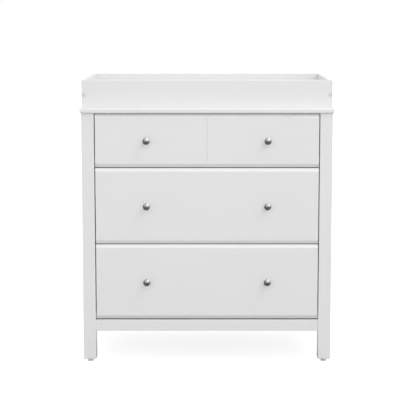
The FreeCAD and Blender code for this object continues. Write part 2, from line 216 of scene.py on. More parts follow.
# %% Sprayed skin
skin_tree, skin_in, skin_out = new_group(
    "sprayed skin",
    [("Ripple Scale", FLOAT, 350.0), ("Cloud Scale", FLOAT, 5.0), ("Speck Scale", FLOAT, 420.0)],
    [("Ripple", FLOAT), ("Cloud", FLOAT), ("Specks", FLOAT)],
)
places = object_places(skin_tree)
ripple = noise(skin_tree, places, skin_in.outputs["Ripple Scale"], detail=1.0)
cloud = noise(skin_tree, places, skin_in.outputs["Cloud Scale"], detail=4.0, roughness=0.6)
cell_values = {"Vector": places, "Scale": skin_in.outputs["Speck Scale"]}
cells = add(skin_tree, "ShaderNodeTexVoronoi", cell_values).outputs["Distance"]
in_cell = spread(skin_tree, cells, 0.22, 0.08)
where_dusty = spread(skin_tree, noise(skin_tree, places, 37.0), 0.60, 0.72)
skin_values = {
    "Ripple": ripple,
    "Cloud": spread(skin_tree, cloud, 0.25, 0.75),
    "Specks": maths(skin_tree, "MULTIPLY", in_cell, where_dusty),
}
fill(skin_tree, skin_out, skin_values)
print("made the group", skin_tree.name)

# %% [markdown]
# Foil on a drawer side and the screen side of hardboard both carry a pressed pattern of fine
# crossing threads.  Sine waves along the three axes, added up, give it on a face that points
# any way, and a noise breaks it up.

# %% Pressed weave
THREAD_SHARE = 0.17      # of the height, for each of the three waves
weave_tree, weave_in, weave_out = new_group(
    "pressed weave",
    [("Pitch", FLOAT, 1.2 * MM), ("Unevenness", FLOAT, 0.5)],
    [("Height", FLOAT)],
)
places = object_places(weave_tree)
turns = maths(weave_tree, "DIVIDE", 2 * math.pi, weave_in.outputs["Pitch"])
axes = add(weave_tree, "ShaderNodeSeparateXYZ", {0: places})
waves = [
    maths(weave_tree, "SINE", maths(weave_tree, "MULTIPLY", along, turns))
    for along in axes.outputs
]
threads = maths(weave_tree, "ADD", maths(weave_tree, "ADD", waves[0], waves[1]), waves[2])
flecks = noise(weave_tree, places, 180.0)
uneven = maths(weave_tree, "MULTIPLY", flecks, weave_in.outputs["Unevenness"])
pressed = maths(weave_tree, "ADD", maths(weave_tree, "MULTIPLY", threads, THREAD_SHARE), uneven)
fill(weave_tree, weave_out, {"Height": pressed})
print("made the group", weave_tree.name)

# %% [markdown]
# ## Finishes
# Each finish is one material with its own Principled shader.  What is the same all over a
# surface is a plain number on the shader; only what varies comes from a group.

# %% A start for every finish


def new_finish(name, **constants):
    """A material, its tree and its shader, with the shader's plain numbers set."""
    material = bpy.data.materials.new(name)
    material.use_nodes = True
    tree = material.node_tree
    shader = tree.nodes["Principled BSDF"]
    for label, value in constants.items():
        shader.inputs[label.replace("_", " ")].default_value = value
    return material, tree, shader


def use_group(tree, group, values=None):
    """Places a shared group in a material, with this material's own values."""
    return add(tree, "ShaderNodeGroup", values, node_tree=group)


def bumped(tree, height, distance, normal=None):
    """A Bump node's normal.  distance is the real height of the bumps."""
    values = {"Height": height, "Distance": distance}
    if normal is not None:
        values["Normal"] = normal
    return add(tree, "ShaderNodeBump", values).outputs["Normal"]


def tinted(tree, mask, colour, change):
    """A colour that a mask moves up and down by a share of itself."""
    darker = [part * (1.0 - change) for part in colour]
    lighter = [part * (1.0 + change) for part in colour]
    return blend_colours(tree, mask, darker, lighter)


# %% [markdown]
# The outside is smooth board under sprayed white lacquer, rubbed to a satin.  Its colour is a
# neutral white a little under the brightest, as paint is, so that light can still model it.
# One flat colour would look moulded from close by, so ripple, cloud and dust break it a little.
# The steel of the runners and of the tray's bolts has a thicker, duller coat of the same kind,
# baked on as powder.

# %% White lacquer and coated steel
LACQUER_WHITE, PRIMER = (0.80, 0.80, 0.797), (0.70, 0.685, 0.65)
COAT_WHITE, BARE_STEEL = (0.76, 0.76, 0.745), (0.45, 0.45, 0.46)
CLOUD_TINT, SPECK_TINT, SPECK_DULLNESS = 0.006, 0.12, 0.2


def sprayed(name, colour, undercoat, roughness, ripple_height, edge_radius, wear=0.35):
    """A sprayed coat: soft edges with slight wear, orange peel, cloudy sheen and dust."""
    material, tree, shader = new_finish(name)
    edges = use_group(tree, edge_tree, {"Radius": edge_radius}).outputs
    skin = use_group(tree, skin_tree).outputs
    coat = tinted(tree, skin["Cloud"], colour, CLOUD_TINT)
    specks = maths(tree, "MULTIPLY", skin["Specks"], SPECK_TINT)
    dusty = blend_colours(tree, specks, coat, undercoat)
    thin = maths(tree, "MULTIPLY", edges["Wear"], wear)
    sheen = spread(tree, skin["Cloud"], 0.0, 1.0, roughness - 0.04, roughness + 0.05)
    dull = maths(tree, "MULTIPLY", skin["Specks"], SPECK_DULLNESS)
    looks = {
        "Base Color": blend_colours(tree, thin, dusty, undercoat),
        "Roughness": maths(tree, "ADD", sheen, dull),
        "Normal": bumped(tree, skin["Ripple"], ripple_height, edges["Normal"]),
    }
    fill(tree, shader, looks)
    return material


lacquer = sprayed("white_lacquer", LACQUER_WHITE, PRIMER, 0.34, 0.010 * MM, 1.0 * MM)
powder_coat = sprayed("coated_steel", COAT_WHITE, BARE_STEEL, 0.48, 0.03 * MM, 0.25 * MM, wear=0.6)
print("made", lacquer.name, "and", powder_coat.name)

# %% [markdown]
# The drawer boxes and the rails that stay inside are chipboard under a printed white foil, a
# shade warmer and duller than the lacquer, with a faint pressed weave.  The weave follows the
# piece's own axes, so no board has to be unwrapped for it.

# %% White foil
FOIL_WHITE, CHIPBOARD = (0.74, 0.735, 0.715), (0.56, 0.50, 0.42)
foil, tree, shader = new_finish("inner_board")
edges = use_group(tree, edge_tree, {"Radius": 0.5 * MM}).outputs
skin = use_group(tree, skin_tree, {"Cloud Scale": 9.0}).outputs
weave = use_group(tree, weave_tree, {"Pitch": 1.1 * MM, "Unevenness": 0.8}).outputs
foil_colour = tinted(tree, skin["Cloud"], FOIL_WHITE, 0.012)
looks = {
    "Base Color": blend_colours(tree, edges["Wear"], foil_colour, CHIPBOARD),
    "Roughness": spread(tree, skin["Cloud"], 0.0, 1.0, 0.46, 0.56),
    "Normal": bumped(tree, weave["Height"], 0.02 * MM, edges["Normal"]),
}
fill(tree, shader, looks)
print("made", foil.name)

# %% [markdown]
# Hardboard is painted white on the face that shows when a drawer is open.  Its other face is
# bare: brown, fibrous, and stamped by the wire screen that it was pressed on.  Which face is
# which follows from where it points: the bare one points to the rear, or down.

# %% Hardboard
BOARD_WHITE = (0.72, 0.715, 0.70)
BARE_DARK, BARE_LIGHT = (0.150, 0.088, 0.048), (0.265, 0.168, 0.098)
FIBRE_SHARE = 0.75
hardboard, tree, shader = new_finish("hardboard")
pointing = add(tree, "ShaderNodeTexCoord").outputs["Normal"]
facing = add(tree, "ShaderNodeSeparateXYZ", {0: pointing}).outputs
downwards = maths(tree, "MULTIPLY", facing["Z"], -1.0)
bare = maths(tree, "GREATER_THAN", maths(tree, "MAXIMUM", facing["Y"], downwards), 0.5)
places = object_places(tree)
strands = add(tree, "ShaderNodeMapping", {"Vector": places, "Scale": (1.0, 1.0, 0.35)}).outputs[0]
fibres = noise(tree, strands, 520.0, detail=6.0, roughness=0.7)
stains = noise(tree, places, 7.0, detail=3.0)
fibrous = maths(tree, "MULTIPLY", fibres, FIBRE_SHARE)
stained = maths(tree, "MULTIPLY", stains, 1.0 - FIBRE_SHARE)
bare_mask = spread(tree, maths(tree, "ADD", fibrous, stained), 0.32, 0.68)
bare_colour = blend_colours(tree, bare_mask, BARE_DARK, BARE_LIGHT)
painted_colour = tinted(tree, stains, BOARD_WHITE, 0.015)
screen = use_group(tree, weave_tree, {"Pitch": 1.6 * MM, "Unevenness": 0.6}).outputs["Height"]
stamped = maths(tree, "MULTIPLY", screen, spread(tree, bare, 0.0, 1.0, 0.15, 1.0))
looks = {
    "Base Color": blend_colours(tree, bare, painted_colour, bare_colour),
    "Roughness": spread(tree, bare, 0.0, 1.0, 0.45, 0.80),
    "Normal": bumped(tree, stamped, 0.18 * MM),
}
fill(tree, shader, looks)
print("made", hardboard.name)

# %% [markdown]
# The knobs are turned, and brushed while they still spin in the lathe, so the scratches run
# round them.  The knob's mesh carries a "turning" attribute with the radius, the cosine of the
# angle and the height of each point; reading it keeps the scratches on the knob wherever it
# stands.  The rim and neck are painted darker than the crown: painted shade, which draws the
# dark edge that each knob shows.

# %% Brushed nickel
NICKEL_CROWN, NICKEL_PAINTED_SHADE = (0.60, 0.595, 0.58), (0.34, 0.336, 0.326)
NICKEL_SCRATCH = (0.72, 0.715, 0.70)
RING_PITCH, ARC_PITCH = 2600.0, (1800.0, 0.8, 1800.0)
nickel, tree, shader = new_finish("brushed_nickel", Metallic=1.0)
turning = add(tree, "ShaderNodeAttribute", attribute_name="turning").outputs["Vector"]
lathe_axes = add(tree, "ShaderNodeSeparateXYZ", {0: turning}).outputs
ring_values = {0: lathe_axes["X"], 2: lathe_axes["Z"]}
ring_places = add(tree, "ShaderNodeCombineXYZ", ring_values).outputs[0]
rings = noise(tree, ring_places, RING_PITCH, detail=3.0, roughness=0.7)
arcs = add(tree, "ShaderNodeMapping", {"Vector": turning, "Scale": ARC_PITCH}).outputs[0]
scratches = noise(tree, arcs, 1.0)
# Painted shade: from 9.5 mm out to the rim the nickel's colour darkens, so that each knob's edge
# reads dark.
painted_shade_to_rim = spread(tree, lathe_axes["X"], 9.5 * MM, 12.0 * MM)
metal_with_painted_shade = blend_colours(tree, painted_shade_to_rim, NICKEL_CROWN, NICKEL_PAINTED_SHADE)
streaks = spread(tree, rings, 0.3, 0.7, 0.0, 0.22)
looks = {
    "Base Color": blend_colours(tree, streaks, metal_with_painted_shade, NICKEL_SCRATCH),
    "Roughness": spread(tree, scratches, 0.3, 0.7, 0.20, 0.30),
    "Normal": bumped(tree, scratches, 0.006 * MM),
}
fill(tree, shader, looks)
print("made", nickel.name)

# %% [markdown]
# Screws, bolts, cams and brackets are zinc-plated: a cool grey metal with a faint spangle and
# rubbed edges.  The spangle is the lacquer's cloud again, only thirty times finer.

# %% Bright zinc
ZINC_DULL, ZINC_BRIGHT = (0.66, 0.665, 0.675), (0.78, 0.785, 0.79)
ZINC_RUBBED = (0.86, 0.86, 0.86)
zinc, tree, shader = new_finish("zinc_plate", Metallic=1.0)
edges = use_group(tree, edge_tree, {"Radius": 0.3 * MM, "Wear Scale": 300.0}).outputs
skin = use_group(tree, skin_tree, {"Cloud Scale": 160.0}).outputs
plating = blend_colours(tree, skin["Cloud"], ZINC_DULL, ZINC_BRIGHT)
looks = {
    "Base Color": blend_colours(tree, edges["Wear"], plating, ZINC_RUBBED),
    "Roughness": spread(tree, skin["Cloud"], 0.0, 1.0, 0.26, 0.42),
    "Normal": bumped(tree, skin["Ripple"], 0.01 * MM, edges["Normal"]),
}
fill(tree, shader, looks)
print("made", zinc.name)

# %% [markdown]
# The rollers are white nylon, a little waxy, and rubbed darker at the edges of their rims.  The
# glides under the feet are a whiter, harder plastic that gets scuffed near the floor, so their
# colour follows the height of each point.

# %% Nylon and glide plastic
NYLON_WHITE, NYLON_RUBBED = (0.78, 0.77, 0.74), (0.55, 0.53, 0.49)
GLIDE_CLEAN, GLIDE_SCUFFED = (0.88, 0.88, 0.87), (0.60, 0.59, 0.58)
SCUFFED_TO = 3.0 * MM
nylon = sprayed("nylon", NYLON_WHITE, NYLON_RUBBED, 0.40, 0.02 * MM, 0.4 * MM, wear=0.5)

glide_plastic, tree, shader = new_finish("glide_plastic")
edges = use_group(tree, edge_tree, {"Radius": 0.5 * MM}).outputs
skin = use_group(tree, skin_tree, {"Cloud Scale": 90.0}).outputs
above_floor = add(tree, "ShaderNodeSeparateXYZ", {0: object_places(tree)}).outputs["Z"]
near_floor = spread(tree, above_floor, SCUFFED_TO, 0.0)
scuffs = maths(tree, "MULTIPLY", near_floor, skin["Cloud"])
looks = {
    "Base Color": blend_colours(tree, scuffs, GLIDE_CLEAN, GLIDE_SCUFFED),
    "Roughness": spread(tree, scuffs, 0.0, 1.0, 0.42, 0.70),
    "Normal": bumped(tree, skin["Ripple"], 0.03 * MM, edges["Normal"]),
}
fill(tree, shader, looks)
print("made", nylon.name, "and", glide_plastic.name)

# %% [markdown]
# The dowels are raw beech.  They are shut inside the joints, but whoever takes the dresser apart
# sees straight grain with short dark flecks.  A noise that is stretched along the dowel gives it.

# %% Beech
BEECH_DARK, BEECH_LIGHT = (0.40, 0.25, 0.13), (0.58, 0.41, 0.25)
ALONG_THE_GRAIN = (0.08, 1.0, 1.0)
beech, tree, shader = new_finish("beech", Roughness=0.62)
grain_values = {"Vector": object_places(tree), "Scale": ALONG_THE_GRAIN}
grain_places = add(tree, "ShaderNodeMapping", grain_values).outputs[0]
grain = noise(tree, grain_places, 900.0, detail=4.0, roughness=0.6)
looks = {
    "Base Color": blend_colours(tree, spread(tree, grain, 0.3, 0.7), BEECH_DARK, BEECH_LIGHT),
    "Normal": bumped(tree, grain, 0.05 * MM),
}
fill(tree, shader, looks)
print("made", beech.name)

# %% [markdown]
# Every board and fitting of the frame now takes the finish that the record names for it.

# %% Finish the carried-over pieces
FINISHES = {
    "white_lacquer": lacquer,
    "inner_board": foil,
    "hardboard": hardboard,
    "brushed_nickel": nickel,
    "zinc_plate": zinc,
    "coated_steel": powder_coat,
    "nylon": nylon,
    "glide_plastic": glide_plastic,
    "beech": beech,
}
for subpart in record["subparts"]:
    node = frame["nodes"][subpart["node"]]
    for material_slot in node.material_slots:
        material_slot.link = "OBJECT"
        material_slot.material = FINISHES[subpart["material_slot"]]
print("finished", len(record["subparts"]), "nodes")

# %% [markdown]
# ## Geometry Nodes helpers
# A tree is built once and used on every piece of its kind.  Each one takes a geometry and a
# finish besides its own inputs, and ends the same way: instances are made real, because an
# export drops them, and the faces get the finish.

# %% Starting and ending a tree
FUSED = 0.001 * MM      # points closer than this are one
SHARP_ANGLE = math.radians(35.0)


def new_geometry_tree(name, inputs):
    """A Geometry Nodes tree with a geometry, its own inputs and a finish going in."""
    inputs = [("Geometry", GEOMETRY, None), *inputs, ("Finish", MATERIAL, None)]
    return new_group(name, inputs, [("Geometry", GEOMETRY)], "GeometryNodeTree")


def end_tree(tree, group_in, group_out, geometry):
    """Makes the instances real, sets the finish and sends the result out."""
    real = add(tree, "GeometryNodeRealizeInstances", {"Geometry": geometry})
    coat_values = {"Geometry": real.outputs[0], "Material": group_in.outputs["Finish"]}
    coated = add(tree, "GeometryNodeSetMaterial", coat_values)
    fill(tree, group_out, {"Geometry": coated.outputs[0]})
    print("made the tree", tree.name)


# %% [markdown]
# The result is turned to a plain mesh at once, so that each piece can ride on its own body.
# Points that fell together are fused, faces are turned outwards, and the shading breaks only
# where two faces meet at a real edge.

# %% Making a piece with a tree


def point_piece(name, points, facing=None):
    """A mesh object of loose points, for a tree to work on, with a direction at each point."""
    mesh = bpy.data.meshes.new(name)
    mesh.from_pydata([tuple(point) for point in points], [], [])
    if facing:
        directions = mesh.attributes.new("facing", "FLOAT_VECTOR", "POINT")
        for item, direction in zip(directions.data, facing):
            item.vector = direction
    made = bpy.data.objects.new(name, mesh)
    bpy.context.scene.collection.objects.link(made)
    return made


def grown(piece, tree, settings):
    """Runs a tree on a piece and leaves its result as a plain mesh whose faces point outwards."""
    modifier = piece.modifiers.new(tree.name, "NODES")
    modifier.node_group = tree
    for item in tree.interface.items_tree:
        if item.in_out == "INPUT" and item.name in settings:
            modifier[item.identifier] = settings[item.name]
    evaluated = piece.evaluated_get(bpy.context.evaluated_depsgraph_get())
    mesh = bpy.data.meshes.new_from_object(evaluated)
    piece.modifiers.remove(modifier)
    shell = bmesh.new()
    shell.from_mesh(mesh)
    bmesh.ops.remove_doubles(shell, verts=shell.verts, dist=FUSED)
    bmesh.ops.recalc_face_normals(shell, faces=shell.faces)
    shell.to_mesh(mesh)
    shell.free()
    mesh.shade_smooth()
    mesh.set_sharp_from_angle(angle=SHARP_ANGLE)
    mesh.name = piece.name
    piece.data = mesh
    return piece


# %% [markdown]
# ## Turned shapes
# A lathe turns a shape by its profile alone.  Blender's Screw modifier would do that too, but
# this tree does one thing more.  It gets the profile as points whose x is a radius and whose z is
# a height, makes a flat grid with one row for each point, and wraps the grid round the axis.  On
# the way it stores the "turning" attribute that the brushed finish reads.

# %% Lathe tree: pick the profile
lathe_tree, lathe_in, lathe_out = new_geometry_tree(
    "lathe", [("Profile Points", INTEGER, 40), ("Segments", INTEGER, 96)]
)
rows, segments = lathe_in.outputs["Profile Points"], lathe_in.outputs["Segments"]
grid_values = {"Size X": 1.0, "Size Y": 1.0, "Vertices X": segments, "Vertices Y": rows}
grid = add(lathe_tree, "GeometryNodeMeshGrid", grid_values).outputs["Mesh"]
grid_place = add(lathe_tree, "GeometryNodeInputPosition").outputs[0]
on_grid = add(lathe_tree, "ShaderNodeSeparateXYZ", {0: grid_place}).outputs
last_row = maths(lathe_tree, "SUBTRACT", rows, 1.0)
up_the_grid = maths(lathe_tree, "ADD", on_grid["Y"], 0.5)
row = maths(lathe_tree, "ROUND", maths(lathe_tree, "MULTIPLY", up_the_grid, last_row))
profile_place = add(lathe_tree, "GeometryNodeInputPosition").outputs[0]
pick_values = {"Geometry": lathe_in.outputs["Geometry"], "Value": profile_place, "Index": row}
picked = add(
    lathe_tree, "GeometryNodeSampleIndex", pick_values, data_type="FLOAT_VECTOR", domain="POINT"
)
on_profile = add(lathe_tree, "ShaderNodeSeparateXYZ", {0: picked.outputs["Value"]}).outputs
print("each point of the grid knows its row of the profile")

# %% Lathe tree: wrap the grid round the axis


def store(tree, geometry, name, values):
    """Keeps three numbers at each point as a named attribute."""
    packed = add(tree, "ShaderNodeCombineXYZ", dict(enumerate(values))).outputs[0]
    store_values = {"Geometry": geometry, "Name": name, "Value": packed}
    options = {"data_type": "FLOAT_VECTOR", "domain": "POINT"}
    return add(tree, "GeometryNodeStoreNamedAttribute", store_values, **options).outputs[0]


def read(tree, name):
    """Reads a named attribute of three numbers."""
    kind = "GeometryNodeInputNamedAttribute"
    return add(tree, kind, {"Name": name}, data_type="FLOAT_VECTOR").outputs[0]


radius, height = on_profile["X"], on_profile["Z"]
angle = maths(lathe_tree, "MULTIPLY", on_grid["X"], 2 * math.pi)
cosine = maths(lathe_tree, "COSINE", angle)
across = maths(lathe_tree, "MULTIPLY", radius, cosine)
along = maths(lathe_tree, "MULTIPLY", radius, maths(lathe_tree, "SINE", angle))
stored = store(lathe_tree, grid, "wrapped", (across, along, height))
stored = store(lathe_tree, stored, "turning", (radius, cosine, height))
move_values = {"Geometry": stored, "Position": read(lathe_tree, "wrapped")}
moved = add(lathe_tree, "GeometryNodeSetPosition", move_values).outputs[0]
drop_values = {"Geometry": moved, "Name": "wrapped"}
dropped = add(lathe_tree, "GeometryNodeRemoveAttribute", drop_values).outputs[0]
close_values = {"Geometry": dropped, "Distance": FUSED}
closed = add(lathe_tree, "GeometryNodeMergeByDistance", close_values).outputs[0]
end_tree(lathe_tree, lathe_in, lathe_out, closed)

# %% [markdown]
# Most profiles are a few straight steps and arcs.  An arc is easiest to measure by three of its
# points, so one helper finds the circle through them.

# %% Profiles and turned pieces


def arc(centre, radius, start, end, steps):
    """Points on part of a circle in the profile's plane, with angles in degrees."""
    for step in range(steps + 1):
        turn = math.radians(start + (end - start) * step / steps)
        yield centre[0] + radius * math.cos(turn), centre[1] + radius * math.sin(turn)


def arc_through(start, middle, end, steps):
    """Points on the circle through three points of a profile, by way of the middle one."""
    corners = (start, middle, end)
    (ax, ay), (bx, by), (cx, cy) = corners
    twice = 2 * (ax * (by - cy) + bx * (cy - ay) + cx * (ay - by))
    squares = [x * x + y * y for x, y in corners]
    x = (squares[0] * (by - cy) + squares[1] * (cy - ay) + squares[2] * (ay - by)) / twice
    y = (squares[0] * (cx - bx) + squares[1] * (ax - cx) + squares[2] * (bx - ax)) / twice
    first, by_way, last = [math.degrees(math.atan2(py - y, px - x)) for px, py in corners]
    if (by_way - first) % 360.0 > (last - first) % 360.0:
        last = first - (first - last) % 360.0
    else:
        last = first + (last - first) % 360.0
    return arc((x, y), math.hypot(ax - x, ay - y), first, last, steps)


def turned(name, profile, finish, segments):
    """A lathed piece at the origin, its axis along +Z.  The profile is in millimetres."""
    points = [(radius * MM, 0.0, height * MM) for radius, height in profile]
    settings = {"Profile Points": len(points), "Segments": segments, "Finish": finish}
    return grown(point_piece(name, points), lathe_tree, settings)


# %% [markdown]
# ## Knobs
# Each knob is a low dome on a waisted neck, 25 mm across, screwed on from inside the drawer.
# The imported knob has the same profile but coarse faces, and no record of how it was turned, so
# a lathed one stands for it, with the threaded hole that its bolt goes into.

# %% The knob's profile
HOLE_RADIUS, HOLE_DEPTH = 2.0, 12.0
CROWN_RADIUS, CROWN_TOP = 15.5, 24.0
RIM_TOP, RIM_SIDE, RIM_FOOT = (11.1, 19.32), (12.3, 17.4), (11.0, 15.3)
CROWN_START = math.degrees(math.acos(RIM_TOP[0] / CROWN_RADIUS))
crown = list(arc((0.0, CROWN_TOP - CROWN_RADIUS), CROWN_RADIUS, CROWN_START, 90.0, 24))
knob_profile = [
    # from the bottom of the hole to its mouth
    (0.0, HOLE_DEPTH), (HOLE_RADIUS, HOLE_DEPTH), (HOLE_RADIUS, 0.0),
    # the foot, with its edges eased
    (6.3, 0.0), (6.6, 0.3), (6.6, 1.3), (6.3, 1.6), (5.9, 1.9),
    # the waist, and the flare under the rim
    *arc_through((5.5, 2.6), (4.7, 6.5), (6.8, 11.0), 14), (7.6, 12.0), (9.2, 13.6),
    # the rim and the crown
    *arc_through(RIM_FOOT, RIM_SIDE, RIM_TOP, 14), *crown[1:],
]
print("the knob's profile has", len(knob_profile), "points")

# %% Turn the knobs
KNOB_SEGMENTS = 96
for drawer in DRAWERS:
    for side in SIDES:
        node = f"{drawer}_knob_{side}"
        low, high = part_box(node)
        knob = turned(f"{drawer}_turned_knob_{side}", knob_profile, nickel, KNOB_SEGMENTS)
        centre = (low + high) / 2
        foot = Vector((centre.x, high.y, centre.z))
        knob.data.transform(Matrix.Translation(foot) @ Matrix.Rotation(math.radians(90.0), 4, "X"))
        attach(knob, f"{drawer}_drawer")
        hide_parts(node)
print("turned", len(DRAWERS) * len(SIDES), "knobs of", len(knob.data.polygons), "faces each")

# %% [markdown]
# ## Screws, cams and nails
# All of these are one small shape set down many times, each with its own turn, because nobody
# stops a screwdriver at the same angle twice.  Two trees do it.  The first cuts a cross recess
# into a head with two crossed bars.  A dark picture of a cross would be quicker, but it would
# not catch the light.  The second bar is shallower, because a cut is only clean where no two
# faces lie in one plane.

# %% Cross recess tree
BAR_DEPTHS = (2.0, 1.8)    # for the recess's depth: half of a bar stands above the head
recess_inputs = [
    ("Top", FLOAT, 2.0 * MM),
    ("Length", FLOAT, 4.0 * MM),
    ("Width", FLOAT, 0.9 * MM),
    ("Depth", FLOAT, 1.2 * MM),
]
cross_tree, cross_in, cross_out = new_geometry_tree("cross recess", recess_inputs)
given = cross_in.outputs
whole_head = {"Mesh 1": given["Geometry"]}
cut = add(cross_tree, "GeometryNodeMeshBoolean", whole_head, operation="DIFFERENCE")
for long_axis, bar_depth in enumerate(BAR_DEPTHS):
    sides = {
        long_axis: given["Length"],
        1 - long_axis: given["Width"],
        2: maths(cross_tree, "MULTIPLY", given["Depth"], bar_depth),
    }
    size = add(cross_tree, "ShaderNodeCombineXYZ", sides)
    bar = add(cross_tree, "GeometryNodeMeshCube", {"Size": size.outputs[0]})
    at_top = add(cross_tree, "ShaderNodeCombineXYZ", {2: given["Top"]})
    bar_values = {"Geometry": bar.outputs["Mesh"], "Translation": at_top.outputs[0]}
    cutter = add(cross_tree, "GeometryNodeTransform", bar_values)
    fill(cross_tree, cut, {"Mesh 2": cutter.outputs[0]})
end_tree(cross_tree, cross_in, cross_out, cut.outputs["Mesh"])

# %% [markdown]
# The second tree sets a shape on every point of a mesh, stood up along the point's "facing"
# direction and turned by a random angle.  The angles come from a seed, so they are the same
# each time the script runs.

# %% Scatter tree
scatter_inputs = [("Shape", OBJECT, None), ("Turn", FLOAT, 2 * math.pi), ("Seed", INTEGER, 0)]
scatter_tree, scatter_in, scatter_out = new_geometry_tree("set on points", scatter_inputs)
given = scatter_in.outputs
shape = add(scatter_tree, "GeometryNodeObjectInfo", {"Object": given["Shape"]})
upright_values = {"Vector": read(scatter_tree, "facing")}
upright = add(scatter_tree, "FunctionNodeAlignRotationToVector", upright_values, axis="Z")
dice = add(scatter_tree, "FunctionNodeRandomValue", data_type="FLOAT")
dice_in = {socket.name: socket for socket in dice.inputs if socket.enabled}
dice_in["Min"].default_value = 0.0
scatter_tree.links.new(given["Turn"], dice_in["Max"])
scatter_tree.links.new(given["Seed"], dice_in["Seed"])
rolled = next(socket for socket in dice.outputs if socket.enabled)
spin_values = {"Axis": (0.0, 0.0, 1.0), "Angle": rolled}
spun = add(scatter_tree, "FunctionNodeAxisAngleToRotation", spin_values)
pose_values = {"Rotation": upright.outputs[0], "Rotate By": spun.outputs[0]}
posed = add(scatter_tree, "FunctionNodeRotateRotation", pose_values, rotation_space="LOCAL")
instance_values = {
    "Points": given["Geometry"],
    "Instance": shape.outputs["Geometry"],
    "Rotation": posed.outputs[0],
}
instances = add(scatter_tree, "GeometryNodeInstanceOnPoints", instance_values)
end_tree(scatter_tree, scatter_in, scatter_out, instances.outputs[0])

# %% [markdown]
# The heads are turned first.  A pan head's dome is a quarter of a superellipse: flatter on top
# and steeper at its side than a ball.

# %% Screws and nails
# Sizes are in millimetres: a head's are its radius and height, a recess's its length, width
# and depth.
HEAD_STEPS, SQUARENESS = 6, 0.55
SCREW_HEAD, SCREW_RECESS = (3.4, 1.5), (3.6, 0.8, 0.9)
LOW_HEAD, LOW_RECESS = (3.2, 0.9), (3.2, 0.7, 0.6)
NAIL_PROFILE = [(0.0, 0.0), (2.2, 0.0), (2.2, 0.35), (1.9, 0.55), (0.0, 0.6)]


def pan_head(radius, height):
    """The outline of a pan head that sits on z = 0, from its edge to its middle."""
    for step in range(HEAD_STEPS):
        turn = math.radians(90.0 * step / HEAD_STEPS)
        yield radius * math.cos(turn) ** SQUARENESS, height * math.sin(turn) ** SQUARENESS
    yield 0.0, height


def crossed(piece, top, recess):
    """Cuts a cross recess into a turned piece."""
    sizes = [size * MM for size in (top, *recess)]
    settings = dict(zip(("Top", "Length", "Width", "Depth"), sizes))
    return grown(piece, cross_tree, {**settings, "Finish": zinc})


screw = turned("screw", [(0.0, 0.0), *pan_head(*SCREW_HEAD)], zinc, 24)
screw = crossed(screw, SCREW_HEAD[1], SCREW_RECESS)
low_screw = turned("low_screw", [(0.0, 0.0), *pan_head(*LOW_HEAD)], zinc, 24)
low_screw = crossed(low_screw, LOW_HEAD[1], LOW_RECESS)
nail = turned("nail", NAIL_PROFILE, zinc, 16)
print("turned", [(made.name, len(made.data.polygons)) for made in (screw, low_screw, nail)])

# %% [markdown]
# A knob's bolt has the same head, larger, and its shank.  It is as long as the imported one.

# %% Knob bolt
BOLT_HEAD, BOLT_RECESS = (4.5, 2.4), (5.0, 1.1, 1.4)
BOLT_SHANK, BOLT_POINT = 2.0, 0.5
bolt_ends = span("top_knob_bolts", "y")
bolt_tip = BOLT_HEAD[1] - (bolt_ends[1] - bolt_ends[0]) / MM
bolt_profile = [
    (0.0, bolt_tip),
    (BOLT_SHANK - BOLT_POINT, bolt_tip),
    (BOLT_SHANK, bolt_tip + BOLT_POINT),
    (BOLT_SHANK, 0.0),
    *pan_head(*BOLT_HEAD),
]
knob_bolt = crossed(turned("knob_bolt", bolt_profile, zinc, 32), BOLT_HEAD[1], BOLT_RECESS)
print("turned the", knob_bolt.name, "with", len(knob_bolt.data.polygons), "faces")

# %% [markdown]
# A cam is a plug that a part of a turn tightens; its face is dished a little inside its rim.  It
# pulls on a pin whose thick end stands in the drawer's front.  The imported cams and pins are
# plain rods, which would do while they are hidden; an open drawer shows the cams' faces.

# %% Cam and cam pin
CAM_RADIUS, CAM_DEPTH, CAM_DISH = 7.5, 9.0, 0.6
CAM_RECESS = (9.6, 1.7, 2.0)
cam_profile = [
    (0.0, -CAM_DEPTH),
    (CAM_RADIUS, -CAM_DEPTH),
    (CAM_RADIUS, -0.3),
    (CAM_RADIUS - 0.3, 0.0),
    (CAM_RADIUS - 1.1, 0.0),
    (CAM_RADIUS - 1.5, -CAM_DISH),
    (0.0, -CAM_DISH),
]
cam = crossed(turned("cam", cam_profile, zinc, 40), -CAM_DISH, CAM_RECESS)

PIN_RADIUS, PIN_WAIST, PIN_THICK_PART = 2.5, 1.8, 8.0
cam_ends = span("top_cam_locks", "y")
pin_end = (cam_ends[1] - cam_ends[0]) / MM - 2 * CAM_RADIUS - 0.3
pin_profile = [
    (0.0, 0.0),
    (PIN_RADIUS - 0.6, 0.0),
    (PIN_RADIUS, 0.6),
    (PIN_RADIUS, PIN_THICK_PART),
    (PIN_WAIST, PIN_THICK_PART + 0.6),
    (PIN_WAIST, pin_end - 0.5),
    (PIN_WAIST - 0.3, pin_end),
    (0.0, pin_end),
]
cam_pin = turned("cam_pin", pin_profile, zinc, 24)
SHAPES = (screw, low_screw, nail, knob_bolt, cam, cam_pin)
print("turned", [(made.name, len(made.data.polygons)) for made in (cam, cam_pin)])

# %% [markdown]
# Each set is one piece for each body, so that it moves with what it holds.

# %% Setting shapes down
LEFTWARD, RIGHTWARD = (-1.0, 0.0, 0.0), (1.0, 0.0, 0.0)
REARWARD, DOWNWARD = (0.0, 1.0, 0.0), (0.0, 0.0, -1.0)
set_count = 0


def set_down(name, shape, places):
    """Sets a shape on each (place, facing) pair and leaves them all as one piece."""
    global set_count
    set_count += 1
    points, facing = zip(*places)
    settings = {"Shape": shape, "Seed": set_count, "Finish": zinc}
    return grown(point_piece(name, points, facing), scatter_tree, settings)


